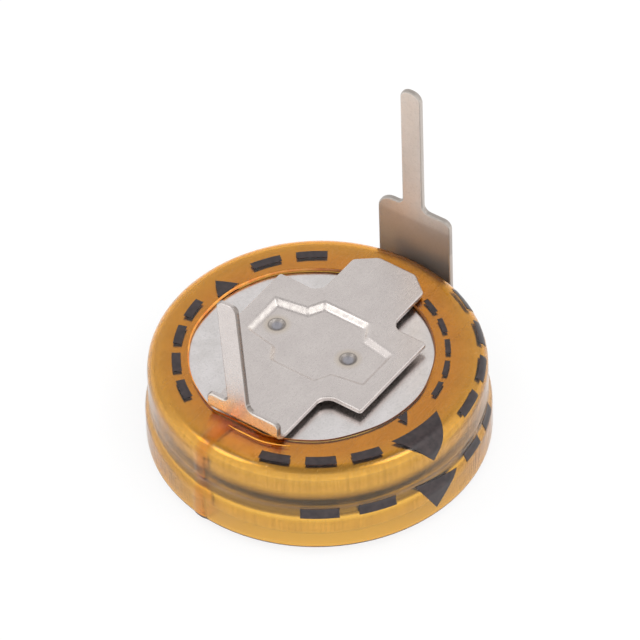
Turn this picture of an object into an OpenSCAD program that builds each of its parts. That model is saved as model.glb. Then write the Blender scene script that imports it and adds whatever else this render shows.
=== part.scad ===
// Coin-type supercapacitor for flat mounting: two crimped coin cells in series, stacked inside a
// shrink-film sleeve, with a stamped solder terminal welded to each face.
// It lies with its solder pins up. +X points to the rear terminal, and z = 0 is the underside it rests on.

/* [Cells] */
// Outer radius of each coin cell
cell_r = 5.5; // [5:0.1:8]
// Height of each coin cell, from the can's base to the cap's face
cell_h = 1.55; // [1.4:0.05:3]
// Sheet thickness of cans and caps
shell_t = 0.2; // [0.1:0.02:0.24]
// Outer radius of the can's drawn edge
can_edge_r = 0.42; // [0.3:0.02:0.5]
// Outer radius of the crimp that closes the can
crimp_r = 0.58; // [0.4:0.02:0.62]
// Flat lip of the crimp past its curl
crimp_lip = 0.12; // [0.06:0.02:0.2]
// Height by which the cap stands proud of the crimp
cap_proud = 0.06; // [0.02:0.02:0.2]
// Outer radius of the cap's pressed edge
cap_edge_r = 0.3; // [0.26:0.02:0.4]
// Width of the cap's flange outside its raised centre
cap_flange_w = 0.45; // [0.35:0.01:0.6]
// Gasket thickness between the crimp and the cap's flange
gasket_t = 0.15; // [0.1:0.01:0.2]
// Gasket thickness between the can's wall and the cap's flange
gasket_side = 0.3; // [0.2:0.02:0.4]
// Width of the gasket's skirt around the electrodes
gasket_skirt = 0.55; // [0.4:0.02:0.65]
// Thickness of the separator
separator_t = 0.08; // [0.04:0.02:0.2]
// Gap between the separator and the cap's wall
separator_gap = 0.1; // [0.05:0.01:0.2]
// Width by which the separator covers more than the electrodes
separator_lap = 0.2; // [0.1:0.02:0.4]
// Radial clearance of pieces that seat in each other
seat_gap = 0.01; // [0.005:0.005:0.03]

/* [Sleeve] */
// Thickness of the shrink film
film_t = 0.1; // [0.06:0.01:0.14]
// Slack of the film round the upper cell
upper_slack = 0.03; // [0.02:0.01:0.2]
// Slack of the film round the lower cell
lower_slack = 0.15; // [0.02:0.01:0.25]
// Width of the film folded over each face
fold_w = 1.57; // [1.2:0.01:1.8]
// Inner radius of the film's lower edge
hem_r = 0.08; // [0.04:0.02:0.3]
// Curve radius of the film where it leaves each cell for the waist
lobe_r = 0.6; // [0.4:0.05:0.8]
// Curve radius of the waist between the cells
waist_r = 0.6; // [0.4:0.05:0.8]
// Depth of the waist inside the tighter of the two walls
waist_dip = 0.03; // [0.01:0.01:0.05]
// Rise of the film from its shoulder to the free lip
lip_rise = 0.05; // [0.02:0.01:0.12]
// Radius of the rolled bead on the film's upper lip
bead_r = 0.075; // [0.07:0.005:0.1]

/* [Terminals] */
// Sheet thickness of the terminals
strip_t = 0.2; // [0.15:0.01:0.25]
// Distance between the two solder pins
pin_pitch = 10; // [9.4:0.1:10.6]
// Width of the solder pins
pin_w = 0.8; // [0.6:0.05:1]
// Corner radius of the front pin's tip
front_tip_r = 0.25; // [0.1:0.05:0.29]
// Corner radius of the rear pin's tip
rear_tip_r = 0.36; // [0.1:0.02:0.38]
// Fillet radius where a pin leaves its wide root
pin_root_r = 0.25; // [0.1:0.05:0.3]
// Corner radius of the front terminal's wide root
front_corner_r = 0.2; // [0.1:0.05:0.25]
// Corner radius of the rear terminal's shoulder on the +Y side
rear_left_r = 0.6; // [0.1:0.05:0.7]
// Corner radius of the rear terminal's shoulder on the -Y side
rear_right_r = 0.3; // [0.1:0.05:0.7]
// Width of the terminals' arms
arm_w = 2.86; // [2.4:0.02:3.4]
// Length of the plate's centre along X
plate_l = 3.78; // [3.4:0.02:4.4]
// Width of the plate's centre along Y
plate_w = 5.92; // [5.3:0.02:6.2]
// Offset of the plate's centre along Y
plate_shift = 0.085; // [0:0.005:0.15]
// Corner radius of the plate
plate_corner_r = 0.12; // [0.05:0.01:0.2]
// Fillet radius between the plate's centre and its arms
plate_fillet_r = 0.45; // [0.1:0.05:0.55]
// Fillet radius at the cut-off ear, on the arm's +Y side
ear_fillet_r = 0.8; // [0.1:0.05:0.8]
// Length along X that is cut off the ear's corner
ear_chamfer_l = 0.5; // [0.2:0.05:0.8]
// Width along Y that is cut off the ear's corner
ear_chamfer_w = 0.75; // [0.2:0.05:0.8]
// Reach of the plate's stub from the plate's centre
stub_l = 4.33; // [3.8:0.01:4.8]
// Chamfer on the stub's corners, measured along X
stub_chamfer_l = 0.55; // [0.2:0.05:0.8]
// Chamfer on the stub's corners, measured along Y
stub_chamfer_w = 0.7; // [0.2:0.05:0.9]
// Inner radius of the front terminal's bend
front_bend_r = 0.2; // [0.1:0.05:0.3]
// Inner radius of the rear terminal's bend
rear_bend_r = 0.3; // [0.1:0.05:0.4]
// Gap between the sleeve and the rear terminal
rear_gap = 0.06; // [0.02:0.01:0.2]
// Gap between the film's lip and the plate above it
plate_gap = 0.025; // [0.01:0.005:0.1]
// Offset of the welded top plate towards the rear terminal
top_shift = 0.29; // [0:0.01:0.4]
// Turn of the welded top terminal, in degrees
top_angle = 1.2; // [0:0.1:2]
// Height of the front terminal's wide root above its plate
front_root_h = 0.62; // [0.55:0.01:1]
// Height of the front pin's tip above its plate
front_pin_h = 5.12; // [4:0.02:7]
// Sideways offset of the front pin on its root
front_pin_shift = 0.2; // [0:0.02:0.4]
// Sideways lean of the front pin, in degrees
front_pin_angle = 4; // [0:0.5:6]
// Offset of the welded bottom terminal along Y
rear_shift = 0.04; // [0:0.01:0.1]
// Sideways offset of the rear pin on its root
rear_pin_shift = 0.05; // [0:0.01:0.2]
// Height of the rear terminal's shoulders above the top plate
rear_root_h = 1.6; // [0.5:0.05:3]
// Height of the rear pin's tip above its shoulders
rear_pin_h = 5.25; // [4:0.05:7]

/* [Weld pad] */
// Length of the pad's long bar along Y, at the plate's surface
pad_bar_l = 4.76; // [4:0.02:5]
// Width of the long bar's ends
pad_bar_w = 1.7; // [1.2:0.02:1.9]
// Flare of the long bar towards its middle, in degrees
pad_bar_angle = 9; // [0:1:15]
// Length of the pad's cross bar along X
pad_cross_l = 3.2; // [2.8:0.02:3.6]
// Width of the cross bar's ends
pad_cross_w = 1.82; // [1.4:0.02:2.2]
// Flare of the cross bar towards its middle, in degrees
pad_cross_angle = 28; // [0:1:35]
// Offset of the pad along Y
pad_shift = 0.11; // [0:0.01:0.2]
// Width of the pad's sloping sides
pad_bevel = 0.15; // [0.1:0.01:0.3]
// Distance between the two weld spots
weld_pitch = 2.88; // [2.2:0.02:3.2]
// Offset of the weld spots along Y
weld_shift = 0.4; // [0:0.02:0.5]
// Radius of a weld spot
weld_r = 0.27; // [0.1:0.01:0.35]
// Depth of a weld spot
weld_depth = 0.1; // [0.02:0.01:0.12]

/* [Hidden] */
$fn = 64;

// Overshoot of cutting shapes
cut = 0.5;
// Steps in each curve of the waist
arc_steps = 6;

// Heights in the stack
plate_lift = lip_rise + film_t / 2 + bead_r + plate_gap;
stack_z = strip_t + plate_lift;
waist_z = stack_z + cell_h;
stack_top = waist_z + cell_h;
top_plate_z = stack_top + plate_lift;
top_z = top_plate_z + strip_t;

// Inside a cell, measured from the can's base
wall_r = cell_r - shell_t;
crest_z = cell_h - cap_proud;
crimp_z = crest_z - crimp_r;
flange_r = wall_r - gasket_side;
cap_r = flange_r - cap_flange_w;
flange_top = crest_z - shell_t - gasket_t;
flange_z = flange_top - shell_t;
separator_r = cap_r - shell_t - separator_gap;
electrode_r = separator_r - separator_lap;
electrode_t = (cell_h - 2 * shell_t - separator_t) / 2;

// Outer surface of the sleeve
sleeve_z = stack_z - film_t;
sleeve_top = stack_top + film_t;
upper_wall_r = cell_r + upper_slack + film_t;
lower_wall_r = cell_r + lower_slack + film_t;
shoulder_r = can_edge_r + upper_slack + film_t;
shoulder_z = sleeve_top - shoulder_r;
flat_r = upper_wall_r - shoulder_r;
hem_x = lower_wall_r - hem_r - film_t;
hem_z = sleeve_z + hem_r + film_t;
upper_open_r = upper_wall_r - fold_w;
lower_open_r = lower_wall_r - fold_w;
waist_wall_r = min(upper_wall_r, lower_wall_r) - waist_dip;

// Terminals
rear_x = lower_wall_r + rear_gap;
front_x = rear_x - pin_pitch;
front_bend_x = front_x + strip_t + front_bend_r;
rear_bend_x = rear_x - rear_bend_r;

// Angle through which the film turns from a wall's line to its steepest slope into the waist
function lobe_turn(wall) = acos(1 - (wall - waist_wall_r) / (lobe_r + waist_r));

// Height at which a wall starts to curve in, on the lower (-1) or the upper (1) side of the waist
function lobe_z(wall, side) = waist_z + side * (lobe_r + waist_r) * sin(lobe_turn(wall));

// Flat shapes, drawn in x and y

// Rectangle centred on the origin with rounded corners
module rounded_plate(size, r) {
    square([size.x, size.y - 2 * r], center = true);
    square([size.x - 2 * r, size.y], center = true);
    for (x = [-1, 1], y = [-1, 1])
        translate([x * (size.x / 2 - r), y * (size.y / 2 - r)]) circle(r);
}

// Half section of a disc, with its two outer corners rounded by low_r and high_r
module disc_section(radius, low, high, low_r, high_r) {
    translate([0, low + low_r]) square([radius, high - high_r - low - low_r]);
    translate([0, low]) square([radius - low_r, low_r]);
    translate([0, high - high_r]) square([radius - high_r, high_r]);
    if (low_r > 0) translate([radius - low_r, low + low_r]) circle(low_r);
    if (high_r > 0) translate([radius - high_r, high - high_r]) circle(high_r);
}

// Bent sheet in section: the part of a ring between two angles less than 180 degrees apart
module bend_section(outer, thickness, start, end) {
    reach = 2 * outer;
    intersection() {
        difference() {
            circle(outer);
            circle(outer - thickness);
        }
        polygon([
            [0, 0],
            for (angle = [start, (start + end) / 2, end]) reach * [cos(angle), sin(angle)]
        ]);
    }
}

// Concave corner that fills the quadrant towards +x and +y
module inner_fillet(r, overlap) {
    difference() {
        translate([-overlap, -overlap]) square(r + overlap);
        translate([r, r]) circle(r);
    }
}

// Cells

module can_section() {
    square([cell_r - can_edge_r, shell_t]);
    translate([cell_r - can_edge_r, can_edge_r]) bend_section(can_edge_r, shell_t, -90, 0);
    translate([wall_r, can_edge_r]) square([shell_t, crimp_z - can_edge_r]);
    translate([cell_r - crimp_r, crimp_z]) bend_section(crimp_r, shell_t, 0, 90);
    translate([cell_r - crimp_r - crimp_lip, crest_z - shell_t]) square([crimp_lip, shell_t]);
}

module cap_section() {
    edge_z = cell_h - cap_edge_r;
    translate([0, cell_h - shell_t]) square([cap_r - cap_edge_r, shell_t]);
    translate([cap_r - cap_edge_r, edge_z]) bend_section(cap_edge_r, shell_t, 0, 90);
    translate([cap_r - shell_t, flange_z]) square([shell_t, edge_z - flange_z]);
    translate([cap_r - shell_t, flange_z]) square([flange_r - cap_r + shell_t, shell_t]);
}

module gasket_section() {
    skirt_r = wall_r - gasket_skirt;
    difference() {
        disc_section(wall_r - seat_gap, shell_t, crest_z - shell_t,
            can_edge_r - shell_t, crimp_r - shell_t - seat_gap);
        translate([-cut, -cut]) square([skirt_r + cut, flange_z + cut]);
        translate([-cut, flange_z]) square([flange_r + seat_gap + cut, shell_t]);
        translate([-cut, flange_z]) square([cap_r + seat_gap + cut, cell_h]);
    }
}

// Puts a half section into the cell on the given level, 0 or 1, with the can's base up
module in_cell(level) {
    translate([0, 0, stack_z + (level + 1) * cell_h])
        rotate([180, 0, 0])
            rotate_extrude() children();
}

module can(level) {
    color([0.82, 0.81, 0.80]) in_cell(level) can_section();
}

module cap(level) {
    color([0.76, 0.75, 0.74]) in_cell(level) cap_section();
}

module gasket(level) {
    color([0.20, 0.20, 0.22]) in_cell(level) gasket_section();
}

module can_electrode(level) {
    color([0.12, 0.12, 0.13]) in_cell(level)
        translate([0, shell_t]) square([electrode_r, electrode_t]);
}

module cap_electrode(level) {
    color([0.15, 0.15, 0.16]) in_cell(level)
        translate([0, cell_h - shell_t - electrode_t]) square([electrode_r, electrode_t]);
}

module separator(level) {
    color([0.93, 0.92, 0.88]) in_cell(level)
        translate([0, shell_t + electrode_t]) square([separator_r, separator_t]);
}

// Sleeve

// Points on an arc in equal steps, without its end
function arc(centre, r, start, end) =
    [for (i = [0:arc_steps - 1]) let (angle = start + (end - start) * i / arc_steps)
        centre + r * [cos(angle), sin(angle)]];

// Surface of the film from the hem up to the shoulder, moved in by inset: it is straight on each cell
// and curves in to the waist between them
function side_path(inset) =
    let (low_turn = lobe_turn(lower_wall_r), high_turn = lobe_turn(upper_wall_r))
    let (low_z = lobe_z(lower_wall_r, -1), high_z = lobe_z(upper_wall_r, 1))
    concat(
        [[lower_wall_r - inset, hem_z]],
        arc([lower_wall_r - lobe_r, low_z], lobe_r - inset, 0, low_turn),
        arc([waist_wall_r + waist_r, waist_z], waist_r + inset, 180 + low_turn, 180 - high_turn),
        arc([upper_wall_r - lobe_r, high_z], lobe_r - inset, -high_turn, 0),
        [[upper_wall_r - inset, high_z], [upper_wall_r - inset, shoulder_z]]
    );

function backwards(points) = [for (i = [len(points) - 1:-1:0]) points[i]];

// Film under the lower face and round its edge
module hem_section() {
    translate([lower_open_r, sleeve_z]) square([hem_x - lower_open_r, film_t]);
    translate([hem_x, hem_z]) bend_section(hem_r + film_t, film_t, -90, 0);
}

// Film round both cells
module side_section() {
    polygon(concat(side_path(0), backwards(side_path(film_t))));
}

// Film over the upper edge, with the fold that rises to the rolled lip
module shoulder_section() {
    lip_z = sleeve_top + lip_rise;
    translate([flat_r, shoulder_z]) bend_section(shoulder_r, film_t, 0, 90);
    polygon([
        [flat_r, sleeve_top - film_t],
        [flat_r, sleeve_top],
        [upper_open_r, lip_z],
        [upper_open_r, lip_z - film_t]
    ]);
    translate([upper_open_r, lip_z - film_t / 2]) circle(bead_r);
}

module sleeve() {
    color([0.85, 0.56, 0.14, 0.7]) rotate_extrude() {
        hem_section();
        side_section();
        shoulder_section();
    }
}

// Terminals

// Wide middle of a plate, with one corner cut off
module plate_middle() {
    corner = [-plate_l / 2, plate_w / 2];
    chamfer = [ear_chamfer_l, ear_chamfer_w];
    difference() {
        rounded_plate([plate_l, plate_w], plate_corner_r);
        polygon([
            corner + [-chamfer.x, -2 * chamfer.y],
            corner + [2 * chamfer.x, chamfer.y],
            corner + [-chamfer.x, chamfer.y]
        ]);
    }
}

// Cross-shaped plate with a chamfered stub towards +x and an arm of the given length towards -x
module plate_outline(arm_l) {
    half = arm_w / 2;
    translate([0, plate_shift]) plate_middle();
    polygon([
        [-arm_l, -half],
        [stub_l - stub_chamfer_l, -half],
        [stub_l, stub_chamfer_w - half],
        [stub_l, half - stub_chamfer_w],
        [stub_l - stub_chamfer_l, half],
        [-arm_l, half]
    ]);
    for (x = [0, 1], y = [0, 1]) {
        r = x == 1 && y == 0 ? ear_fillet_r : plate_fillet_r;
        mirror([x, 0]) mirror([0, y]) translate([plate_l / 2, half]) inner_fillet(r, plate_corner_r);
    }
}

// Bar along x that flares out to its middle, with sloping sides: it has the given size at z = 0, and goes
// down by plate_lift and up by above
module flared_bar(length, width, flare, above) {
    slope = pad_bevel / plate_lift;
    side_d = width / 2 * cos(flare) + length / 2 * sin(flare);
    ends = [for (angle = [0, 180]) [length / 2, angle]];
    sides = [for (angle = [90, -90], turn = [-1, 1]) [side_d, angle + turn * flare]];
    intersection_for (face = concat(ends, sides))
        rotate(face[1]) rotate([90, 0, 0])
            linear_extrude(2 * length, center = true)
                polygon([
                    [-length, -plate_lift],
                    [face[0] - pad_bevel, -plate_lift],
                    [face[0] + slope * above, above],
                    [-length, above]
                ]);
}

// The cross-shaped weld pad
module pad_form(above) {
    rotate(90) flared_bar(pad_bar_l, pad_bar_w, pad_bar_angle, above);
    flared_bar(pad_cross_l, pad_cross_w, pad_cross_angle, above);
}

// Sheet from z = 0 up, with the weld pad pressed down towards the cell and the two weld spots in it
module welded_plate(arm_l) {
    spot_ball_r = (pow(weld_r, 2) + pow(weld_depth, 2)) / (2 * weld_depth);
    pad_floor = strip_t - plate_lift;
    difference() {
        union() {
            linear_extrude(strip_t) plate_outline(arm_l);
            translate([0, pad_shift, 0]) pad_form(0);
        }
        translate([0, pad_shift, strip_t]) pad_form(cut);
        for (side = [-1, 1])
            translate([0, weld_shift + side * weld_pitch / 2, pad_floor + spot_ball_r - weld_depth])
                sphere(spot_ball_r);
    }
}

// Upright outline: a wide root with a corner radius on each side, then a pin with filleted root and round tip
module blade_outline(root_h, corner_rs, pin_h, tip_r, shift, angle) {
    half = arm_w / 2;
    overlap = pin_w / 4;
    for (side = [0, 1])
        mirror([side, 0]) {
            translate([-overlap, 0]) square([half + overlap, root_h - corner_rs[side]]);
            translate([-overlap, 0]) square([half - corner_rs[side] + overlap, root_h]);
            translate([half - corner_rs[side], root_h - corner_rs[side]]) circle(corner_rs[side]);
        }
    translate([shift, root_h]) {
        rotate(-angle) {
            translate([-pin_w / 2, -overlap]) square([pin_w, pin_h - tip_r + overlap]);
            translate([tip_r - pin_w / 2, 0]) square([pin_w - 2 * tip_r, pin_h]);
            for (side = [-1, 1])
                translate([side * (pin_w / 2 - tip_r), pin_h - tip_r]) circle(tip_r);
        }
        for (x = [0, 1])
            mirror([x, 0]) translate([pin_w / 2, 0]) inner_fillet(pin_root_r, overlap);
    }
}

// Stands a flat outline upright, facing along X
module upright(thickness) {
    rotate([90, 0, 90]) linear_extrude(thickness) children();
}

// Quarter bend of the strip, from flat to upright, turned about the Y axis through the origin
module strip_bend(bend_r) {
    rotate([90, 0, 0]) linear_extrude(arm_w, center = true)
        bend_section(bend_r + strip_t, strip_t, -90, 0);
}

module top_terminal() {
    root_z = strip_t + front_bend_r;
    color([0.78, 0.76, 0.74]) rotate(-top_angle) {
        translate([top_shift, 0, top_plate_z]) welded_plate(top_shift - front_bend_x);
        translate([front_bend_x, 0, top_plate_z + root_z]) mirror([1, 0, 0]) strip_bend(front_bend_r);
        translate([front_x, 0, top_plate_z + root_z]) upright(strip_t)
            blade_outline(front_root_h - front_bend_r, [front_corner_r, front_corner_r],
                front_pin_h - front_root_h, front_tip_r, front_pin_shift, front_pin_angle);
    }
}

module bottom_terminal() {
    root_z = strip_t + rear_bend_r;
    color([0.74, 0.70, 0.66]) translate([0, rear_shift, 0]) {
        translate([0, 0, strip_t]) rotate([0, 180, 0]) welded_plate(rear_bend_x);
        translate([rear_bend_x, 0, root_z]) strip_bend(rear_bend_r);
        translate([rear_x, 0, root_z]) upright(strip_t)
            blade_outline(top_z + rear_root_h - root_z, [rear_left_r, rear_right_r],
                rear_pin_h, rear_tip_r, rear_pin_shift, 0);
    }
}

module upper_can() { can(1); }
module upper_cap() { cap(1); }
module upper_gasket() { gasket(1); }
module upper_can_electrode() { can_electrode(1); }
module upper_cap_electrode() { cap_electrode(1); }
module upper_separator() { separator(1); }
module lower_can() { can(0); }
module lower_cap() { cap(0); }
module lower_gasket() { gasket(0); }
module lower_can_electrode() { can_electrode(0); }
module lower_cap_electrode() { cap_electrode(0); }
module lower_separator() { separator(0); }

sleeve();
top_terminal();
bottom_terminal();
upper_can();
upper_cap();
upper_gasket();
upper_can_electrode();
upper_cap_electrode();
upper_separator();
lower_can();
lower_cap();
lower_gasket();
lower_can_electrode();
lower_cap_electrode();
lower_separator();
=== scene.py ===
"""Looks of a coin-type supercapacitor: amber shrink film over two steel cells, and stamped terminals.

Lengths are in millimetres until a mesh is made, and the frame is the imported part's own.
"""

import math

import bmesh
import bpy
import numpy as np
from mathutils import Matrix, Vector


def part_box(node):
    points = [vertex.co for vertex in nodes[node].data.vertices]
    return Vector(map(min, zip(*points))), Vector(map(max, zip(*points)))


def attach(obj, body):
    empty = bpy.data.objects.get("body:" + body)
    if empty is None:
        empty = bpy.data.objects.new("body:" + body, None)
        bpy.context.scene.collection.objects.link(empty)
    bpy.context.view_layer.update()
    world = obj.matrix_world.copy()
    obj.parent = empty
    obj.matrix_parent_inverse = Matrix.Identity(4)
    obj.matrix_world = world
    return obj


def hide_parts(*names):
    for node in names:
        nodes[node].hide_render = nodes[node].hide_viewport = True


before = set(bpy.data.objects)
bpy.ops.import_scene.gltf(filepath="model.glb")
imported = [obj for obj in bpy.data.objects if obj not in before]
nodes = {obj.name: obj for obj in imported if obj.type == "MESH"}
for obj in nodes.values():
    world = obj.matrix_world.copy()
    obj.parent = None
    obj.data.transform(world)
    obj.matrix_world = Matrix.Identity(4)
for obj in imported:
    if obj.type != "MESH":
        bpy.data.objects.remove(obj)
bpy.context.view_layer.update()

MM = 0.001


def box_mm(node):
    """Lowest and highest corner of a CAD node in millimetres."""
    return [np.array(corner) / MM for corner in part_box(node)]


# Sizes of the film

sleeve_low, sleeve_high = box_mm("sleeve")
FACE_Z = box_mm("upper_can")[1][2]
WAIST_Z = box_mm("lower_can")[1][2]
CELL_R = box_mm("upper_can")[1][0]

FILM_OVER_CELL = 0.13
WAIST_DEPTH = 0.03
FLANGE_W = 1.57
FILM_BOTTOM = sleeve_low[2]
FILM_TOP = FACE_Z + FILM_OVER_CELL
LOWER_WALL_R = sleeve_high[0]
UPPER_WALL_R = CELL_R + FILM_OVER_CELL
WAIST_WALL_R = UPPER_WALL_R - WAIST_DEPTH
SHOULDER_R = 0.56
HEM_R = 0.18
LOBE_R = 0.6
FLAT_R = UPPER_WALL_R - SHOULDER_R
LIP_R = UPPER_WALL_R - FLANGE_W
LOWER_LIP_R = LOWER_WALL_R - FLANGE_W
# The film is thicker on the flange, where it has shrunk most, and thickens between two ways along it
WALL_T = 0.075
LIP_T = 0.115
THICKENING = -0.8, 0.6
# The flange rises a little to its lip
LIP_RISE = 0.008
RISE_POWER = 1.5
# The film has shrunk unevenly: its upper opening is wider towards OPENING_DEG
OPENING_DEG = 125.5
OPENING_SHIFT = 0.19
OPENING_OVAL = 0.045
# Waves round the lip, in and out, and up and down: each has its height, count and phase
RAGGED_WAVES = [(0.012, 7, 0.4), (0.008, 13, 2.1)]
PUCKER_WAVES = [(0.004, 5, 1.0), (0.003, 11, 0.3)]
# The front terminal's root holds the lip back along a straight line, gathers it and curls it up
ROOT_DEG = 178.8
ROOT_LIP_R = 4.06
ROOT_SOFTNESS = 0.02
ROOT_LEAST_COS = 0.5
ROOT_CURL = 0.05
CURL_POWER = 5
GATHER_T = 0.02
GATHER_WAY = 0.7
GATHER_FULL = 0.06
# Painted highlight strip along a fold in the film before that root
FOLD_DEG = 172, 203
FOLD_ENDS = 0.02, 0.98
FOLD_WAY = 0.3
FOLD_W = 0.05
# Overlap of the film's glued edge
SEAM_DEG = 171.0
SEAM_W = 0.42
SEAM_T = 0.04
SEAM_EDGE = 0.09
# Thin strips stand for the light scattered at the film's cut edge, over this arc of it, and at its fold
CUT_T = 0.006
CUT_ARC = 255, 100
# The film's ends are rounded from under to over
ROUND_END = 270, 90

# Steps of the film's meshes
FILM_STEPS = 420
SEAM_STEPS = 30
FLANGE_STEPS = 44
LIP_STEPS = 8
HEM_STEPS = 4
FOLD_STEPS = 80


# Film surface

def arc_points(centre, radius, start, end, steps):
    """Points on an arc in the r-z plane, without its first one."""
    angles = np.radians(np.linspace(start, end, steps + 1)[1:])
    return [(centre[0] + radius * math.cos(a), centre[1] + radius * math.sin(a)) for a in angles]


def line_points(start, end, steps):
    """Points on a line in the r-z plane, without its first one."""
    way = np.array(end) - start
    return [tuple(np.array(start) + way * i / steps) for i in range(1, steps + 1)]


def lobe_turn(wall):
    """Degrees that a wall's lobe turns through on its way in to the waist."""
    return math.degrees(math.acos(1 - (wall - WAIST_WALL_R) / (2 * LOBE_R)))


def side_profile():
    """Outer surface of the film from the shoulder's inner edge down and in under the lower face."""
    high_turn, low_turn = lobe_turn(UPPER_WALL_R), lobe_turn(LOWER_WALL_R)
    high_z = WAIST_Z + 2 * LOBE_R * math.sin(math.radians(high_turn))
    low_z = WAIST_Z - 2 * LOBE_R * math.sin(math.radians(low_turn))
    shoulder_z = FILM_TOP - SHOULDER_R
    hem_z = FILM_BOTTOM + HEM_R
    waist = WAIST_WALL_R + LOBE_R, WAIST_Z
    points = [(FLAT_R, FILM_TOP)]
    points += arc_points((FLAT_R, shoulder_z), SHOULDER_R, 90, 0, 18)
    points += line_points((UPPER_WALL_R, shoulder_z), (UPPER_WALL_R, high_z), 8)
    points += arc_points((UPPER_WALL_R - LOBE_R, high_z), LOBE_R, 0, -high_turn, 5)
    points += arc_points(waist, LOBE_R, 180 - high_turn, 180 + low_turn, 12)
    points += arc_points((LOWER_WALL_R - LOBE_R, low_z), LOBE_R, low_turn, 0, 8)
    points += line_points((LOWER_WALL_R, low_z), (LOWER_WALL_R, hem_z), 8)
    points += arc_points((LOWER_WALL_R - HEM_R, hem_z), HEM_R, 0, -90, 8)
    points += line_points((LOWER_WALL_R - HEM_R, FILM_BOTTOM), (LOWER_LIP_R, FILM_BOTTOM), 6)
    return np.array(points)


SIDE = side_profile()
SIDE_LENGTH = np.concatenate([[0], np.cumsum(np.hypot(*np.diff(SIDE, axis=0).T))])
side_step = np.gradient(SIDE, axis=0)
SIDE_NORMAL = np.stack([-side_step[:, 1], side_step[:, 0]], 1)
SIDE_NORMAL /= np.linalg.norm(SIDE_NORMAL, axis=1)[:, None]


def waves(theta, parts):
    """Sum of sine waves round the part."""
    return sum(height * np.sin(count * theta + phase) for height, count, phase in parts)


def free_lip_radius(theta):
    """Radius of the film's upper opening, without the front terminal in its way."""
    away = theta - math.radians(OPENING_DEG)
    shrunk = LIP_R + OPENING_SHIFT * np.cos(away) + OPENING_OVAL * np.cos(2 * away)
    return shrunk + waves(theta, RAGGED_WAVES)


def held_back(theta):
    """How far the front terminal's root holds the lip back."""
    facing = np.maximum(np.cos(theta - math.radians(ROOT_DEG)), ROOT_LEAST_COS)
    excess = free_lip_radius(theta) - ROOT_LIP_R / facing
    return ROOT_SOFTNESS * np.logaddexp(0, excess / ROOT_SOFTNESS)


def lip_radius(theta):
    """Radius of the film's upper opening."""
    return free_lip_radius(theta) - held_back(theta)


def gathered(theta):
    """Share of the film gathered up before the front terminal's root, from 0 to 1."""
    return np.clip(held_back(theta) / GATHER_FULL, 0, 1)


def film_thickness(theta, along):
    """Thickness of the film, which is more on the flange and most where it is gathered."""
    to_lip = FLAT_R - lip_radius(theta) - along
    gather = GATHER_T * np.exp(-(to_lip / GATHER_WAY) ** 2)
    return np.interp(along, THICKENING, [WALL_T, LIP_T]) + gathered(theta) * gather


def seam_step(theta, radius):
    """Extra thickness of the film at its glued overlap."""
    across = radius * ((theta - math.radians(SEAM_DEG) + math.pi) % (2 * math.pi) - math.pi)
    rise, fall = (np.tanh((across + side * SEAM_W / 2) / SEAM_EDGE) for side in (1, -1))
    return SEAM_T * 0.5 * (rise - fall)


def film_section(theta, along, depth):
    """r and z of the film at the angle theta. along is the way from the shoulder's inner edge: positive
    towards the lip and negative down the side. depth is below the outer surface."""
    theta, along = np.broadcast_arrays(np.asarray(theta, float), np.asarray(along, float))
    down = np.clip(-along, 0, SIDE_LENGTH[-1])
    r, z = (np.interp(down, SIDE_LENGTH, SIDE[:, axis]) for axis in (0, 1))
    normal_r, normal_z = (np.interp(down, SIDE_LENGTH, SIDE_NORMAL[:, axis]) for axis in (0, 1))
    on_flange = np.clip(along, 0, None)
    way = on_flange / (FLAT_R - lip_radius(theta))
    rise = (LIP_RISE + waves(theta, PUCKER_WAVES)) * way ** RISE_POWER
    curl = ROOT_CURL * gathered(theta) * way ** CURL_POWER
    return r - on_flange - depth * normal_r, z + rise + curl - depth * normal_z


def film_points(theta, along, depth):
    """Points of the film in the part's frame."""
    r, z = film_section(theta, along, depth)
    return np.stack([r * np.cos(theta), r * np.sin(theta), z], -1)


# Meshes

def add_object(name, mesh):
    """Object with smooth faces in the scene."""
    mesh.polygons.foreach_set("use_smooth", [True] * len(mesh.polygons))
    obj = bpy.data.objects.new(name, mesh)
    bpy.context.scene.collection.objects.link(obj)
    return obj


def new_object(name, vertices, faces):
    """Mesh object from points in millimetres."""
    mesh = bpy.data.meshes.new(name)
    mesh.from_pydata((np.asarray(vertices) * MM).tolist(), [], faces)
    shell = bmesh.new()
    shell.from_mesh(mesh)
    bmesh.ops.recalc_face_normals(shell, faces=shell.faces)
    shell.to_mesh(mesh)
    shell.free()
    return add_object(name, mesh)


def tube_faces(loops, stations, closed):
    """Quads between loops of stations in turn, back to the first or with a face at each end."""
    faces = []
    for i in range(loops if closed else loops - 1):
        j = (i + 1) % loops
        for k in range(stations):
            m = (k + 1) % stations
            faces.append((i * stations + k, j * stations + k, j * stations + m, i * stations + m))
    if not closed:
        last = (loops - 1) * stations
        faces += [tuple(range(stations)), tuple(range(last, last + stations))]
    return faces


def film_angles():
    """Angles of the film's sections, closer together at the edges of its overlap."""
    even = np.linspace(0, 2 * math.pi, FILM_STEPS, endpoint=False)
    close = np.linspace(-SEAM_W, SEAM_W, SEAM_STEPS + 1) / CELL_R % (2 * math.pi)
    return np.unique(np.round(np.concatenate([even, close]), 4)) + math.radians(SEAM_DEG)


def ring_object(name, section_at):
    """Closed ring round the part. section_at gives its loop of r and z at an angle."""
    thetas = film_angles()
    loops = []
    for theta in thetas:
        r, z = section_at(theta).T
        loops.append(np.stack([r * math.cos(theta), r * math.sin(theta), z], 1))
    return new_object(name, np.concatenate(loops), tube_faces(len(thetas), len(loops[0]), True))


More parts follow.
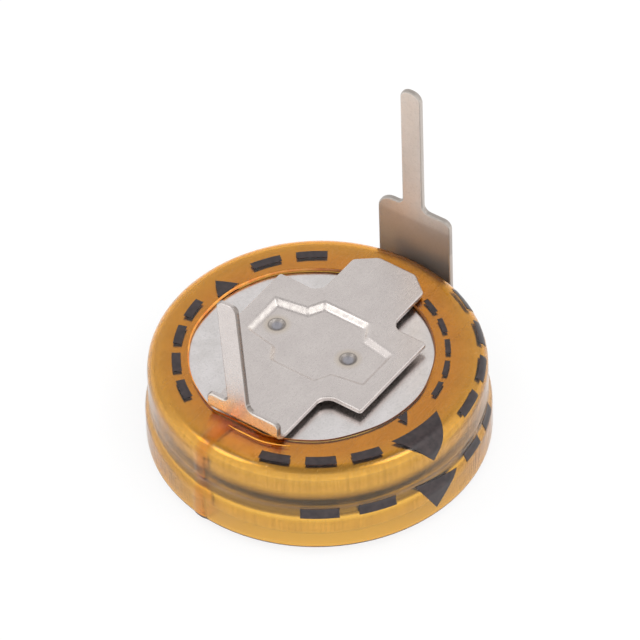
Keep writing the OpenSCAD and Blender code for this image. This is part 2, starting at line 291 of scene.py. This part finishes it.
def film_loop(theta):
    """Section of the shrink film: over the lip, down the side, under the lower face and back inside."""
    shares = np.linspace(1, 0, FLANGE_STEPS, endpoint=False)
    flange_along = shares * (FLAT_R - lip_radius(theta))
    along = np.concatenate([flange_along, -SIDE_LENGTH])
    radius = np.concatenate([FLAT_R - flange_along, SIDE[:, 0]])
    outer = np.stack(film_section(theta, along, -seam_step(theta, radius)), 1)
    thickness = film_thickness(theta, along)
    inner = np.stack(film_section(theta, along, thickness), 1)[::-1]
    hem_middle = (outer[-1] + inner[0]) / 2
    hem_end = np.array(arc_points(hem_middle, WALL_T / 2, *ROUND_END, HEM_STEPS)[:-1])
    lip_middle = (outer[0] + inner[-1]) / 2
    lip_end = np.array(arc_points(lip_middle, thickness[0] / 2, *ROUND_END, LIP_STEPS)[:-1])
    return np.concatenate([lip_end, outer, hem_end, inner])


def lip_edge_loop(theta):
    """Section of the thin strip over the film's cut edge round its upper opening."""
    along = FLAT_R - lip_radius(theta)
    half = film_thickness(theta, along) / 2
    middle = film_section(theta, along, half)
    start, end = CUT_ARC
    outer = arc_points(middle, half + CUT_T, start, end, LIP_STEPS)
    inner = arc_points(middle, half - CUT_T, end, start, LIP_STEPS)
    return np.array(outer + inner)


def make_fold_highlight():
    """Fine strip of painted highlight over the film's fold before the front terminal's root."""
    share = np.linspace(*FOLD_ENDS, FOLD_STEPS)
    thetas = np.radians(np.interp(share, (0, 1), FOLD_DEG))
    middle = FLAT_R - lip_radius(thetas) - FOLD_WAY
    half = FOLD_W / 2 * np.sqrt(np.sin(math.pi * share))
    low = seam_step(thetas, FLAT_R - middle) + CUT_T
    high = low + CUT_T
    corners = (half, high), (-half, high), (-half, low), (half, low)
    loops = [film_points(thetas, middle + across, -above) for across, above in corners]
    points = np.stack(loops, 1).reshape(-1, 3)
    return new_object("film_fold_highlight", points, tube_faces(FOLD_STEPS, len(corners), False))


# Print on the film: plain triangles and dashes

PRINT_T = 0.004
PRINT_LIFT = 0.003
PRINT_STEP = 0.06


def outline_between(corners):
    """Points all round a polygon, close enough together to follow the film."""
    points = []
    for start, end in zip(corners, corners[1:] + corners[:1]):
        start, end = np.array(start), np.array(end)
        steps = max(1, int(np.linalg.norm(end - start) / PRINT_STEP))
        points += [start + (end - start) * i / steps for i in range(steps)]
    return np.array(points)


def patch_faces(count, rings):
    """Faces of a thin patch. Its upper points are a middle and rings of count round it, and its lower
    points follow in the same order."""
    size = 1 + rings * count
    rim = size - count
    faces = []
    for i in range(count):
        j = (i + 1) % count
        faces.append((0, 1 + i, 1 + j))
        faces.append((size, size + 1 + j, size + 1 + i))
        for a in range(1, rim, count):
            b = a + count
            faces.append((a + i, b + i, b + j, a + j))
            faces.append((size + a + i, size + a + j, size + b + j, size + b + i))
        faces.append((rim + i, size + rim + i, size + rim + j, rim + j))
    return faces


def print_patch(corners):
    """Points and faces of a thin convex patch on the film. Each corner is an angle in degrees and a way
    along the film."""
    edge = outline_between([(math.radians(a) * CELL_R, along) for a, along in corners])
    middle = edge.mean(0)
    rings = max(2, int(np.linalg.norm(edge - middle, axis=1).max() / PRINT_STEP))
    flat = [middle + (edge - middle) * k / rings for k in range(1, rings + 1)]
    flat = np.concatenate([middle[None], *flat])
    thetas, along = flat[:, 0] / CELL_R, flat[:, 1]
    top = film_points(thetas, along, -PRINT_LIFT - PRINT_T)
    low = film_points(thetas, along, -PRINT_LIFT)
    return np.concatenate([top, low]), patch_faces(len(edge), rings)


def dash_row(start, end, along, height, count):
    """Corners of a row of dashes between two angles, centred at the given way along the film. A dash is
    two steps long, with one step between it and the next."""
    low, high = along - height / 2, along + height / 2
    edges = np.linspace(start, end, 3 * count)
    return [[(a, low), (b, low), (b, high), (a, high)] for a, b in zip(edges[::3], edges[2::3])]


TRIANGLES = [
    [(78.5, 0.22), (84.9, 0.87), (72.3, 0.87)],
    [(-105.4, 1.05), (-104.0, 0.68), (-98.9, 1.05)],
    [(-115.5, 0.3), (-103.5, -1.2), (-91.0, 0.3)],
    [(-111.5, -1.95), (-103.8, -3.3), (-92.9, -2.3)],
]
DASH_ROWS = [
    dash_row(91, 149, 0.42, 0.3, 4),
    dash_row(62, 30, 0.42, 0.3, 2),
    dash_row(-168, -121, 0.12, 0.36, 3),
    dash_row(-22, -84, 0.76, 0.18, 5),
    dash_row(-22, -86, -0.45, 0.32, 4),
    dash_row(-152, -119, -2.1, 0.4, 2),
    dash_row(-62, -88, -2.3, 0.36, 2),
]


def make_print():
    """All marks on the film, as one piece."""
    vertices, faces, base = [], [], 0
    for corners in TRIANGLES + [dash for row in DASH_ROWS for dash in row]:
        points, its_faces = print_patch(corners)
        vertices.append(points)
        faces += [tuple(base + i for i in face) for face in its_faces]
        base += len(points)
    return new_object("film_print", np.concatenate(vertices), faces)


# Terminals

EDGE_R = 0.06
PAD_R = 0.1
EDGE_SEGMENTS = 4
WELD_PITCH = 2.88
WELD_SHIFT = 0.4
TOP_SHIFT = 0.29
TOP_TURN = -1.2
REAR_SHIFT = 0.04


def turned(point, degrees):
    """Point turned about the part's axis."""
    a = math.radians(degrees)
    x, y = point
    return x * math.cos(a) - y * math.sin(a), x * math.sin(a) + y * math.cos(a)


WELD_Y = [WELD_SHIFT + side * WELD_PITCH / 2 for side in (-1, 1)]
TOP_WELDS = [turned((TOP_SHIFT, y), TOP_TURN) for y in WELD_Y]
BOTTOM_WELDS = [(0, y + REAR_SHIFT) for y in WELD_Y]
# Edges of the weld spots stay as they are
WELD_CLEAR = 0.45
# Turns of the pad's edges and of the sheet's cut edges, in degrees
PAD_TURN = 28, 70
CUT_TURN = 70, 110
CREASE_DEG = 25
# Triangles of one flat face are joined before its edges are rounded
FLAT_DEG = 0.5
MERGE_GAP = 0.0005
NORMAL_WEIGHT = 100


def round_edges(work, turns, radius, welds):
    """Rounds over the edges whose turn is between two angles, but for those of the weld spots."""
    least, most = turns

    def chosen(edge):
        middle = (edge.verts[0].co + edge.verts[1].co) / 2
        apart = all(math.dist(middle.xy, weld) > WELD_CLEAR for weld in welds)
        return apart and edge.is_manifold and least <= math.degrees(edge.calc_face_angle()) < most

    bmesh.ops.bevel(work, geom=[e for e in work.edges if chosen(e)], offset=radius,
                    offset_type="OFFSET", segments=EDGE_SEGMENTS, profile=0.5, affect="EDGES",
                    clamp_overlap=False)


def make_terminal(node, name, welds):
    """The stamped sheet of a CAD node with its edges rounded over."""
    work = bmesh.new()
    work.from_mesh(nodes[node].data)
    work.transform(Matrix.Scale(1 / MM, 4))
    bmesh.ops.remove_doubles(work, verts=work.verts, dist=MERGE_GAP)
    bmesh.ops.dissolve_limit(work, angle_limit=math.radians(FLAT_DEG), verts=work.verts,
                             edges=work.edges)
    round_edges(work, PAD_TURN, PAD_R, welds)
    round_edges(work, CUT_TURN, EDGE_R, welds)
    work.transform(Matrix.Scale(MM, 4))
    mesh = bpy.data.meshes.new(name)
    work.to_mesh(mesh)
    work.free()
    if "custom_normal" in mesh.attributes:
        mesh.attributes.remove(mesh.attributes["custom_normal"])
    mesh.materials.clear()
    obj = add_object(name, mesh)
    mesh.set_sharp_from_angle(angle=math.radians(CREASE_DEG))
    weighted = obj.modifiers.new("weighted_normals", "WEIGHTED_NORMAL")
    weighted.keep_sharp = True
    weighted.weight = NORMAL_WEIGHT
    return obj


# Node trees

class Nodes:
    """Short names for making a node tree."""

    def __init__(self, tree):
        self.tree = tree

    def add(self, kind, **settings):
        """New node with the given inputs and settings."""
        node = self.tree.nodes.new("ShaderNode" + kind)
        for key, value in settings.items():
            if key in node.inputs.keys():
                node.inputs[key].default_value = value
            else:
                setattr(node, key, value)
        return node

    def link(self, source, target):
        self.tree.links.new(source, target)

    def feed(self, socket, value):
        """Sets a socket to a value, or links it to another socket."""
        if isinstance(value, bpy.types.NodeSocket):
            self.link(value, socket)
        else:
            socket.default_value = value

    def maths(self, operation, *values):
        node = self.add("Math", operation=operation)
        for socket, value in zip(node.inputs, values):
            self.feed(socket, value)
        return node.outputs[0]

    def product(self, first, *others):
        for other in others:
            first = self.maths("MULTIPLY", first, other)
        return first

    def vector(self, operation, *values):
        """Vector that an operation gives."""
        node = self.add("VectorMath", operation=operation)
        for socket, value in zip(node.inputs, values):
            self.feed(socket, value)
        return node.outputs[0]

    def measure(self, operation, first, second):
        """Number that an operation on two vectors gives."""
        return self.vector(operation, first, second).node.outputs["Value"]

    def xyz(self, vector):
        """A vector's X, Y and Z."""
        node = self.add("SeparateXYZ")
        self.link(vector, node.inputs[0])
        return node.outputs

    def ramp(self, value, low, high, to_low=0, to_high=1, kind="LINEAR"):
        """value from low..high mapped to to_low..to_high, and kept in there."""
        node = self.add("MapRange", interpolation_type=kind)
        sockets = "From Min", "From Max", "To Min", "To Max"
        for socket, number in zip(sockets, (low, high, to_low, to_high)):
            node.inputs[socket].default_value = number
        self.link(value, node.inputs["Value"])
        return node.outputs["Result"]

    def mix(self, factor, first, second):
        """Colour between two colours, each a tuple or a socket."""
        node = self.add("Mix", data_type="RGBA")
        sockets = [s for s in node.inputs if s.type == "RGBA"]
        for socket, colour in zip(sockets, (first, second)):
            self.feed(socket, (*colour, 1) if isinstance(colour, tuple) else colour)
        self.link(factor, node.inputs["Factor"])
        return [s for s in node.outputs if s.type == "RGBA"][0]

    def noise(self, vector, scale, detail=3.0, roughness=0.55):
        node = self.add("TexNoise", Scale=scale, Detail=detail, Roughness=roughness)
        self.link(vector, node.inputs["Vector"])
        return node.outputs["Fac"]


class Material(Nodes):
    """A new material's node tree."""

    def __init__(self, name):
        self.material = bpy.data.materials.new(name)
        self.material.use_nodes = True
        super().__init__(self.material.node_tree)
        self.shader = self.tree.nodes["Principled BSDF"]
        self.output = self.tree.nodes["Material Output"]

    def set(self, **values):
        """Gives the shader's inputs their values or links, by name with _ for a space."""
        for key, value in values.items():
            self.feed(self.shader.inputs[key.replace("_", " ")], value)

    def position(self):
        """Place in the part's frame, in millimetres."""
        return self.vector("MULTIPLY", self.add("TexCoord").outputs["Object"], (1 / MM,) * 3)

    def height(self):
        """Height in the part's frame, in millimetres."""
        return self.xyz(self.position())["Z"]

    def facing(self):
        """The surface's own direction as X, Y and Z."""
        return self.xyz(self.add("NewGeometry").outputs["Normal"])

    def spokes(self, spread):
        """Coordinates that change round the part and hardly along it, for streaks drawn along it."""
        place = self.position()
        outwards = self.vector("NORMALIZE", self.vector("MULTIPLY", place, (1, 1, 0)))
        round_it = self.vector("MULTIPLY", outwards, (CELL_R, CELL_R, 0))
        return self.vector("ADD", round_it, self.vector("MULTIPLY", place, (spread,) * 3))

    def bump(self, height, strength, distance, normal=None):
        """Adds relief to the shader's normal. distance is in millimetres."""
        node = self.add("Bump", Strength=strength, Distance=distance * MM)
        self.link(height, node.inputs["Height"])
        if normal is not None:
            self.link(normal, node.inputs["Normal"])
        self.link(node.outputs["Normal"], self.shader.inputs["Normal"])
        return node.outputs["Normal"]


# Materials

CLEAR_IOR = 1.5
# Noise by its scale, detail and roughness
FILM_STREAKS = 14.0, 5, 0.65
FILM_WAVES = 0.9, 2
EDGE_PATCHES = 2.2, 4
INK_WEAR = 5.0, 4
MOTTLING = 1.4, 4
SPECKS = 13.0, 2, 0.7
FINE_GRAIN = 22.0, 2
ROLLING_LINES = 1.0, 3
ROLLING_STRETCH = (0.35, 11.0, 11.0)
FINE_DENTS = 17.0, 3, 0.6
DRAWN_LINES = 11.0, 4, 0.7
HIGHLIGHT_PATCHES = 5.0, 4, 0.7
# How far streaks change along the part for each millimetre
FILM_SPREAD = 0.05
DRAWN_SPREAD = 0.03
# What the film lets through, and how fast it takes the rest out of the light, per metre
FILM_COLOUR = (0.963, 0.755, 0.02, 1)
FILM_DENSITY = 17600.0
# Painted light scattered at the film's cut edge: where it has drawn back least, patchy where it has
# drawn back, and brighter at the root
EDGE_DEEP = (0.22, 0.07, 0.012)
EDGE_TONES = (0.70, 0.17, 0.02), (0.90, 0.42, 0.07)
EDGE_DRAWN = -1.0, 2.5
EDGE_ROOT_TONE = (1.0, 0.46, 0.06)
EDGE_ROOT_X = -3.75, -4.0
EDGE_ROOT_SHARE = 0.9
INK_TONES = (0.02, 0.013, 0.014), (0.045, 0.03, 0.03)
GASKET_TONES = (0.03, 0.03, 0.034), (0.05, 0.05, 0.055)
CARBON_TONES = (0.012, 0.012, 0.013), (0.03, 0.03, 0.032)
PAPER_TONES = (0.82, 0.80, 0.75), (0.72, 0.70, 0.64)

# Lighter and darker tone of each metal, its roughness, and how metallic it is
TOP_TONES = (0.675, 0.62, 0.595), (0.625, 0.57, 0.55)
TOP_ROUGH = 0.29
TOP_METALLIC = 0.85
REAR_TONES = (0.70, 0.65, 0.60), (0.65, 0.60, 0.55)
REAR_ROUGH = 0.4
REAR_METALLIC = 0.75
CAN_TONES = (0.83, 0.79, 0.785), (0.73, 0.695, 0.68)
CAN_ROUGH = 0.24
CAN_SIDE_ROUGH = 0.07
SIDE_TO_FACE = FACE_Z - 0.35, FACE_Z - 0.03
GRAIN_ROUGH = 0.03
SPECK_SHADE = 0.8
# Heat tint round a weld spot, whose dark ring and core are also painted shade of its dimple: from one
# distance to a nearer one it comes up to a share of a tone
WELD_TINTS_AND_SHADE = [
    (0.52, 0.34, 0.5, (0.58, 0.49, 0.38)),
    (0.33, 0.27, 0.85, (0.16, 0.14, 0.13)),
    (0.23, 0.13, 1, (0.38, 0.37, 0.40)),
]
WELD_ROUGH = 0.32, 0.24, 0, 0.14
# Fine lines of deep drawing down a can's side, which end below its face
DRAWN_TONE = (0.52, 0.48, 0.45)
DRAWN_END = FACE_Z - 0.25, FACE_Z - 0.05
# Blades rise from here, and their cut edges get painted shade: shares on their sides and on their tops
BLADE_Z = 4.0
CUT_SHADE = (0.22, 0.19, 0.17)
TOP_CUT = 0.85, 0.1
REAR_CUT = 0.4, 0.6
# Painted highlight on the steep parts of the top plate, patchy and weaker on one side
BEVEL_HIGHLIGHT_TONE = (0.92, 0.86, 0.81)
HIGHLIGHT_STEEP = 0.92, 0.7
HIGHLIGHT_FADE = -1.2, -0.8, 0.2, 1
# Amber light on the front of the blade that the film lies before
GLOW_TONE = (0.95, 0.83, 0.65)
GLOW_X = -4.0, -4.12
GLOW_FACING = -0.3, -0.7
GLOW_Z = BLADE_Z + 0.9, BLADE_Z - 0.1
GLOW_SHARE = 0.8
# Heights with the share of a tone there: painted shade darkens the groove between the cells, a painted
# highlight lights the lower can's edge just under it, and painted shade darkens the rear terminal's
# root
GROOVE = [(WAIST_Z - 0.42, 0.03), (WAIST_Z - 0.3, 0.8), (WAIST_Z + 0.46, 0.8),
          (WAIST_Z + 0.8, 0.08), (FACE_Z - 0.15, 0.08), (FACE_Z - 0.05, 0)]
GROOVE_SHADE = (0.13, 0.11, 0.10)
RIM = [(WAIST_Z - 0.66, 0), (WAIST_Z - 0.5, 0.9), (WAIST_Z - 0.42, 0.9), (WAIST_Z - 0.36, 0)]
RIM_HIGHLIGHT = (1.0, 1.0, 0.98)
ROOT = [(3.2, 0.75), (4.9, 0.5), (5.06, 0.16), (5.7, 0)]
ROOT_SHADE = (0.36, 0.30, 0.26)


def film_material():
    """Clear amber film: colour is taken out of light on its way through, so edges look deeper."""
    n = Material("amber_film")
    streak = n.noise(n.spokes(FILM_SPREAD), *FILM_STREAKS)
    n.set(Base_Color=(1.0, 1.0, 1.0, 1), Transmission_Weight=1.0, IOR=CLEAR_IOR,
          Roughness=n.ramp(streak, 0.35, 0.75, 0.015, 0.05))
    waviness = n.bump(n.noise(n.position(), *FILM_WAVES), 0.5, 0.05)
    n.bump(streak, 0.5, 0.012, waviness)
    absorb = n.add("VolumeAbsorption", Color=FILM_COLOUR, Density=FILM_DENSITY)
    n.link(absorb.outputs["Volume"], n.output.inputs["Volume"])
    return n.material


def edge_glow_material():
    """Painted light scattered at the film's cut edge, deepest where the film has drawn back least and
    lighter at the front terminal's root.
    """
    n = Material("film_edge_glow")
    place = n.position()
    patchy = n.noise(place, *EDGE_PATCHES)
    a = math.radians(OPENING_DEG)
    towards = n.measure("DOT_PRODUCT", place, (math.cos(a), math.sin(a), 0))
    light = n.mix(n.ramp(patchy, 0.35, 0.65), *EDGE_TONES)
    tone = n.mix(n.ramp(towards, *EDGE_DRAWN), EDGE_DEEP, light)
    at_root = n.ramp(n.xyz(place)["X"], *EDGE_ROOT_X, 0, EDGE_ROOT_SHARE)
    n.set(Base_Color=n.mix(at_root, tone, EDGE_ROOT_TONE), IOR=CLEAR_IOR,
          Roughness=n.ramp(patchy, 0.3, 0.7, 0.25, 0.4))
    return n.material


def ink_material():
    """Dark ink, a little worn."""
    n = Material("dark_ink")
    fade = n.noise(n.position(), *INK_WEAR)
    n.set(Base_Color=n.mix(n.ramp(fade, 0.4, 0.75), *INK_TONES), IOR=CLEAR_IOR,
          Roughness=n.ramp(fade, 0.3, 0.8, 0.28, 0.45))
    return n.material


def metal(name, tones, rough, side_rough=None, welds=(), metallic=1.0):
    """Bare sheet metal with fine grain, soft mottling, rolling lines along X, and heat tint with
    painted shade round welds.
    Returns its node tree and its colour, which isn't linked yet."""
    n = Material(name)
    place = n.position()
    mottle = n.ramp(n.noise(place, *MOTTLING), 0.35, 0.7)
    specks = n.ramp(n.noise(place, *SPECKS), 0.5, 0.75, 0, 0.5)
    fine = n.noise(place, *FINE_GRAIN)
    lines = n.noise(n.vector("MULTIPLY", place, ROLLING_STRETCH), *ROLLING_LINES)
    tone = n.mix(specks, n.mix(mottle, *tones), tuple(SPECK_SHADE * c for c in tones[1]))
    level = n.ramp(n.height(), *SIDE_TO_FACE, side_rough or rough, rough)
    for centre in welds:
        away = n.measure("DISTANCE", n.vector("MULTIPLY", place, (1, 1, 0)), (*centre, 0))
        for far, near, share, tint_and_shade in WELD_TINTS_AND_SHADE:
            tone = n.mix(n.ramp(away, far, near, 0, share), tone, tint_and_shade)
        level = n.maths("ADD", level, n.ramp(away, *WELD_ROUGH))
    for grain in (fine, lines):
        level = n.maths("ADD", level, n.ramp(grain, 0.3, 0.7, -GRAIN_ROUGH, GRAIN_ROUGH))
    n.set(Roughness=level, Metallic=metallic)
    n.bump(n.noise(place, *FINE_DENTS), 0.3, 0.003)
    return n, tone


def finished(n, tone):
    """Links the colour and returns the material."""
    n.set(Base_Color=tone)
    return n.material


def painted_by_height(n, tone, stops, colour):
    """Colour that turns to another by height, for bands of painted shade and painted highlight: stops
    are heights, each with the other colour's share.
    """
    height = n.height()
    share = stops[0][1]
    for (low, first), (high, second) in zip(stops, stops[1:]):
        share = n.maths("ADD", n.ramp(height, low, high, 0, second - first), share)
    return n.mix(share, tone, colour)


def drawn_lines(n, tone):
    """Colour with the fine lines that deep drawing leaves down a can's side."""
    lines = n.ramp(n.noise(n.spokes(DRAWN_SPREAD), *DRAWN_LINES), 0.45, 0.7, 0, 0.5)
    on_side = n.ramp(n.height(), *DRAWN_END, 1, 0)
    return n.mix(n.product(lines, on_side), tone, DRAWN_TONE)


def shaded_cut_edges(n, tone, on_sides, on_tops):
    """Colour with painted shade on a blade's cut edges, by one share on its sides and one on its tops.
    """
    facing = n.facing()
    side = n.ramp(n.maths("ABSOLUTE", facing["Y"]), 0.2, 0.5, 0, on_sides)
    top = n.ramp(facing["Z"], 0.2, 0.5, 0, on_tops)
    on_blade = n.ramp(n.height(), BLADE_Z, BLADE_Z + 0.1)
    return n.mix(n.product(n.maths("MAXIMUM", side, top), on_blade), tone, CUT_SHADE)


def bevel_highlight(n, tone):
    """Colour with a painted highlight on the plate's steep faces, where the tool drew or cut it, patchy
    and fading on one side.
    """
    place = n.position()
    steep = n.ramp(n.facing()["Z"], *HIGHLIGHT_STEEP)
    on_plate = n.ramp(n.height(), BLADE_Z - 0.1, BLADE_Z, 1, 0)
    broken_up = n.ramp(n.noise(place, *HIGHLIGHT_PATCHES), 0.38, 0.6, 0.25, 1)
    across = n.ramp(n.xyz(place)["Y"], *HIGHLIGHT_FADE)
    return n.mix(n.product(steep, on_plate, broken_up, across), tone, BEVEL_HIGHLIGHT_TONE)


def lit_by_film(n, tone):
    """Colour of a blade's front, tinted by the amber film that lies before its root."""
    place = n.xyz(n.position())
    front = n.ramp(place["X"], *GLOW_X)
    facing = n.ramp(n.facing()["X"], *GLOW_FACING)
    low = n.ramp(place["Z"], *GLOW_Z, 0, GLOW_SHARE)
    return n.mix(n.product(front, facing, low), tone, GLOW_TONE)


def top_terminal_steel():
    """Steel of the top terminal."""
    n, tone = metal("top_terminal_steel", TOP_TONES, TOP_ROUGH, welds=TOP_WELDS, metallic=TOP_METALLIC)
    # Painted highlight on the plate's steep faces, painted amber light on the blade's front, and
    # painted shade on its cut edges
    return finished(n, shaded_cut_edges(n, lit_by_film(n, bevel_highlight(n, tone)), *TOP_CUT))


def bottom_terminal_steel():
    """Steel of the bottom terminal."""
    n, tone = metal("bottom_terminal_steel", REAR_TONES, REAR_ROUGH, welds=BOTTOM_WELDS,
                    metallic=REAR_METALLIC)
    # Painted shade darkens the terminal's root and the blade's cut edges
    return finished(n, shaded_cut_edges(n, painted_by_height(n, tone, ROOT, ROOT_SHADE), *REAR_CUT))


def can_steel():
    """Steel of the cans, whose sides show through the film."""
    n, tone = metal("cell_steel", CAN_TONES, CAN_ROUGH, CAN_SIDE_ROUGH)
    # Painted highlight on the lower can's edge and painted shade in the groove between the cells
    tone = painted_by_height(n, drawn_lines(n, tone), RIM, RIM_HIGHLIGHT)
    return finished(n, painted_by_height(n, tone, GROOVE, GROOVE_SHADE))


def plain(name, tones, rough, scale):
    """Matt material with a fine irregular grain."""
    n = Material(name)
    grain = n.noise(n.position(), scale, 5, 0.6)
    n.set(Base_Color=n.mix(n.ramp(grain, 0.35, 0.65), *tones), Roughness=rough)
    n.bump(grain, 0.3, 0.01)
    return n.material


# Pieces with their materials

def dress(obj, material):
    """Gives a piece its material, in its only slot."""
    obj.data.materials.clear()
    obj.data.materials.append(material)


def stand_in(obj, node, material):
    """obj rides on the part, and takes the place of a CAD node if one is given."""
    dress(obj, material)
    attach(obj, "root")
    if node:
        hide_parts(node)


def dress_film():
    """The film, its print, and strips of painted light over its cut edge and its fold."""
    film_edge_glow = edge_glow_material()
    stand_in(ring_object("film", film_loop), "sleeve", film_material())
    stand_in(make_print(), None, ink_material())
    stand_in(ring_object("film_lip_edge_glow", lip_edge_loop), None, film_edge_glow)
    stand_in(make_fold_highlight(), None, film_edge_glow)


def dress_terminals():
    """Both terminals."""
    top_sheet = make_terminal("top_terminal", "top_terminal_sheet", TOP_WELDS)
    stand_in(top_sheet, "top_terminal", top_terminal_steel())
    bottom_sheet = make_terminal("bottom_terminal", "bottom_terminal_sheet", BOTTOM_WELDS)
    stand_in(bottom_sheet, "bottom_terminal", bottom_terminal_steel())


def dress_cells():
    """The two cells with all that is in them."""
    cell_steel = can_steel()
    cap_steel = finished(*metal("cap_steel", CAN_TONES, CAN_ROUGH))
    gasket = plain("gasket_plastic", GASKET_TONES, rough=0.5, scale=6.0)
    carbon = plain("carbon", CARBON_TONES, rough=0.85, scale=14.0)
    paper = plain("separator_paper", PAPER_TONES, rough=0.9, scale=9.0)
    for cell in ("upper", "lower"):
        dress(nodes[cell + "_can"], cell_steel)
        dress(nodes[cell + "_cap"], cap_steel)
        dress(nodes[cell + "_gasket"], gasket)
        dress(nodes[cell + "_can_electrode"], carbon)
        dress(nodes[cell + "_cap_electrode"], carbon)
        dress(nodes[cell + "_separator"], paper)


# Stage

# The photograph's view: its direction, roll, distance, and where the part's foot falls in the picture
VIEW_AZIMUTH = 54.5
VIEW_ELEVATION = 45.55
VIEW_ROLL = -1.88
VIEW_DISTANCE = 300.0
PIXELS_PER_MM = 30.138
PICTURE = 640
FOOT_PIXEL = (319.6, 424.0)
SENSOR = 36.0
# Nearest and farthest that the camera sees, in metres
CLIP = 0.01, 2.0
TOWARDS_VIEWER = (-math.sin(math.radians(VIEW_AZIMUTH)), -math.cos(math.radians(VIEW_AZIMUTH)), 0)

FLOOR_SIZE = 700.0
FLOOR_GAP = 0.02
FLOOR_TONE = (0.93, 0.93, 0.93, 1)
# Share of plain white in the floor: as the camera sees it, and as gloss does between two distances
FLOOR_WHITE = 0.82
FLOOR_GLOSS = 1.5, 6.0, 0.25, 0.85
# Light of the surroundings by elevation in degrees, on the viewer's side and beyond the part
NEAR_TENT = [(0, 1.28), (18, 1.22), (34, 1.14), (48, 1.08), (54, 0.98), (66, 0.56), (90, 0.42)]
FAR_TENT = [(0, 0.82), (18, 0.84), (34, 0.86), (48, 0.84), (54, 0.75), (66, 0.44), (90, 0.44)]
# One side passes into the other between these shares of the way towards the viewer
FAR_TO_NEAR = -0.5, 0.1
# Lamps: azimuth from +X and elevation in degrees, size, radiance, and whether gloss shows them
LAMP_DISTANCE = 320
LAMPS = {
    "key": (225, 52, 300, 1.8, False),
    "left_box": (130, 58, 120, 1.75, True),
    "right_box": (289, 60, 120, 1.9, True),
}


def floor_material():
    """Pale floor. Gloss sees painted white light on it, more before the part than behind, where it lies
    in shade.
    """
    n = Material("pale_floor")
    n.set(Base_Color=FLOOR_TONE, Roughness=0.9, Specular_IOR_Level=0.1)
    towards = n.measure("DOT_PRODUCT", n.position(), TOWARDS_VIEWER)
    rays = n.add("LightPath").outputs
    gloss = n.maths("MAXIMUM", rays["Is Glossy Ray"], rays["Is Transmission Ray"])
    gloss = n.product(gloss, n.ramp(towards, *FLOOR_GLOSS))
    seen = n.maths("MAXIMUM", n.product(rays["Is Camera Ray"], FLOOR_WHITE), gloss)
    white = n.add("Emission", Strength=1.0)
    blend = n.add("MixShader")
    for socket, source in zip(blend.inputs, (seen, n.shader.outputs[0], white.outputs[0])):
        n.link(source, socket)
    n.link(blend.outputs[0], n.output.inputs["Surface"])
    return n.material


def make_floor():
    """Square floor just under the part."""
    half = FLOOR_SIZE / 2
    square = (-half, -half), (half, -half), (half, half), (-half, half)
    floor = new_object("floor", [(x, y, -FLOOR_GAP) for x, y in square], [(0, 1, 2, 3)])
    floor.data.materials.append(floor_material())


def tent(n, stops, height, brightest):
    """Light of the surroundings at a height, as a share of the brightest."""
    node = n.add("ValToRGB")
    elements = node.color_ramp.elements
    while len(elements) < len(stops):
        elements.new(1)
    for element, (elevation, light) in zip(elements, stops):
        element.position = math.sin(math.radians(elevation))
        element.color = (light / brightest,) * 3 + (1,)
    n.link(height, node.inputs["Fac"])
    return node.outputs["Color"]


def make_world():
    """Soft light from all round, strongest near the viewer's horizon, as in a tent with an open top."""
    world = bpy.data.worlds.new("studio")
    bpy.context.scene.world = world
    world.use_nodes = True
    n = Nodes(world.node_tree)
    brightest = max(light for _, light in NEAR_TENT + FAR_TENT)
    way = n.add("TexCoord").outputs["Generated"]
    towards = n.measure("DOT_PRODUCT", way, TOWARDS_VIEWER)
    near = n.ramp(towards, *FAR_TO_NEAR, kind="SMOOTHSTEP")
    height = n.xyz(way)["Z"]
    far_light = tent(n, FAR_TENT, height, brightest)
    near_light = tent(n, NEAR_TENT, height, brightest)
    backdrop = n.tree.nodes["Background"]
    n.link(n.mix(near, far_light, near_light), backdrop.inputs["Color"])
    backdrop.inputs["Strength"].default_value = brightest


def soft_light(name, azimuth, elevation, size, radiance, in_gloss):
    """Square lamp that faces the part."""
    data = bpy.data.lights.new(name, "AREA")
    data.size = size * MM
    data.energy = math.pi * (size * MM) ** 2 * radiance
    lamp = bpy.data.objects.new(name, data)
    lamp.visible_glossy = in_gloss
    lamp.visible_transmission = in_gloss
    bpy.context.scene.collection.objects.link(lamp)
    a, e = math.radians(azimuth), math.radians(elevation)
    away = Vector((math.cos(a) * math.cos(e), math.sin(a) * math.cos(e), math.sin(e)))
    lamp.location = away * LAMP_DISTANCE * MM
    lamp.rotation_mode = "QUATERNION"
    lamp.rotation_quaternion = away.to_track_quat("Z", "Y")


def make_camera():
    """Camera of the photograph's view, with the part's foot where the picture has it."""
    a, e, roll = (math.radians(v) for v in (VIEW_AZIMUTH, VIEW_ELEVATION, VIEW_ROLL))
    ahead = Vector((math.sin(a) * math.cos(e), math.cos(a) * math.cos(e), -math.sin(e)))
    level = Vector((math.cos(a), -math.sin(a), 0))
    up = level.cross(ahead)
    right = level * math.cos(roll) + up * math.sin(roll)
    up = up * math.cos(roll) - level * math.sin(roll)
    focal = PIXELS_PER_MM * VIEW_DISTANCE
    aim = ahead * focal
    aim += right * (PICTURE / 2 - FOOT_PIXEL[0]) + up * (FOOT_PIXEL[1] - PICTURE / 2)
    aim.normalize()
    up = (up - aim * up.dot(aim)).normalized()
    right = aim.cross(up)
    data = bpy.data.cameras.new("camera")
    data.sensor_width = SENSOR
    data.lens = SENSOR * focal / PICTURE
    data.clip_start, data.clip_end = CLIP
    camera = bpy.data.objects.new("camera", data)
    bpy.context.scene.collection.objects.link(camera)
    camera.matrix_world = Matrix((right, up, -aim)).transposed().to_4x4()
    camera.location = (Vector((0, 0, FILM_BOTTOM)) - ahead * VIEW_DISTANCE) * MM
    bpy.context.scene.camera = camera


dress_film()
dress_terminals()
dress_cells()
make_floor()
make_world()
for lamp_name, settings in LAMPS.items():
    soft_light(lamp_name, *settings)
make_camera()
bpy.context.scene.view_settings.view_transform = "Standard"
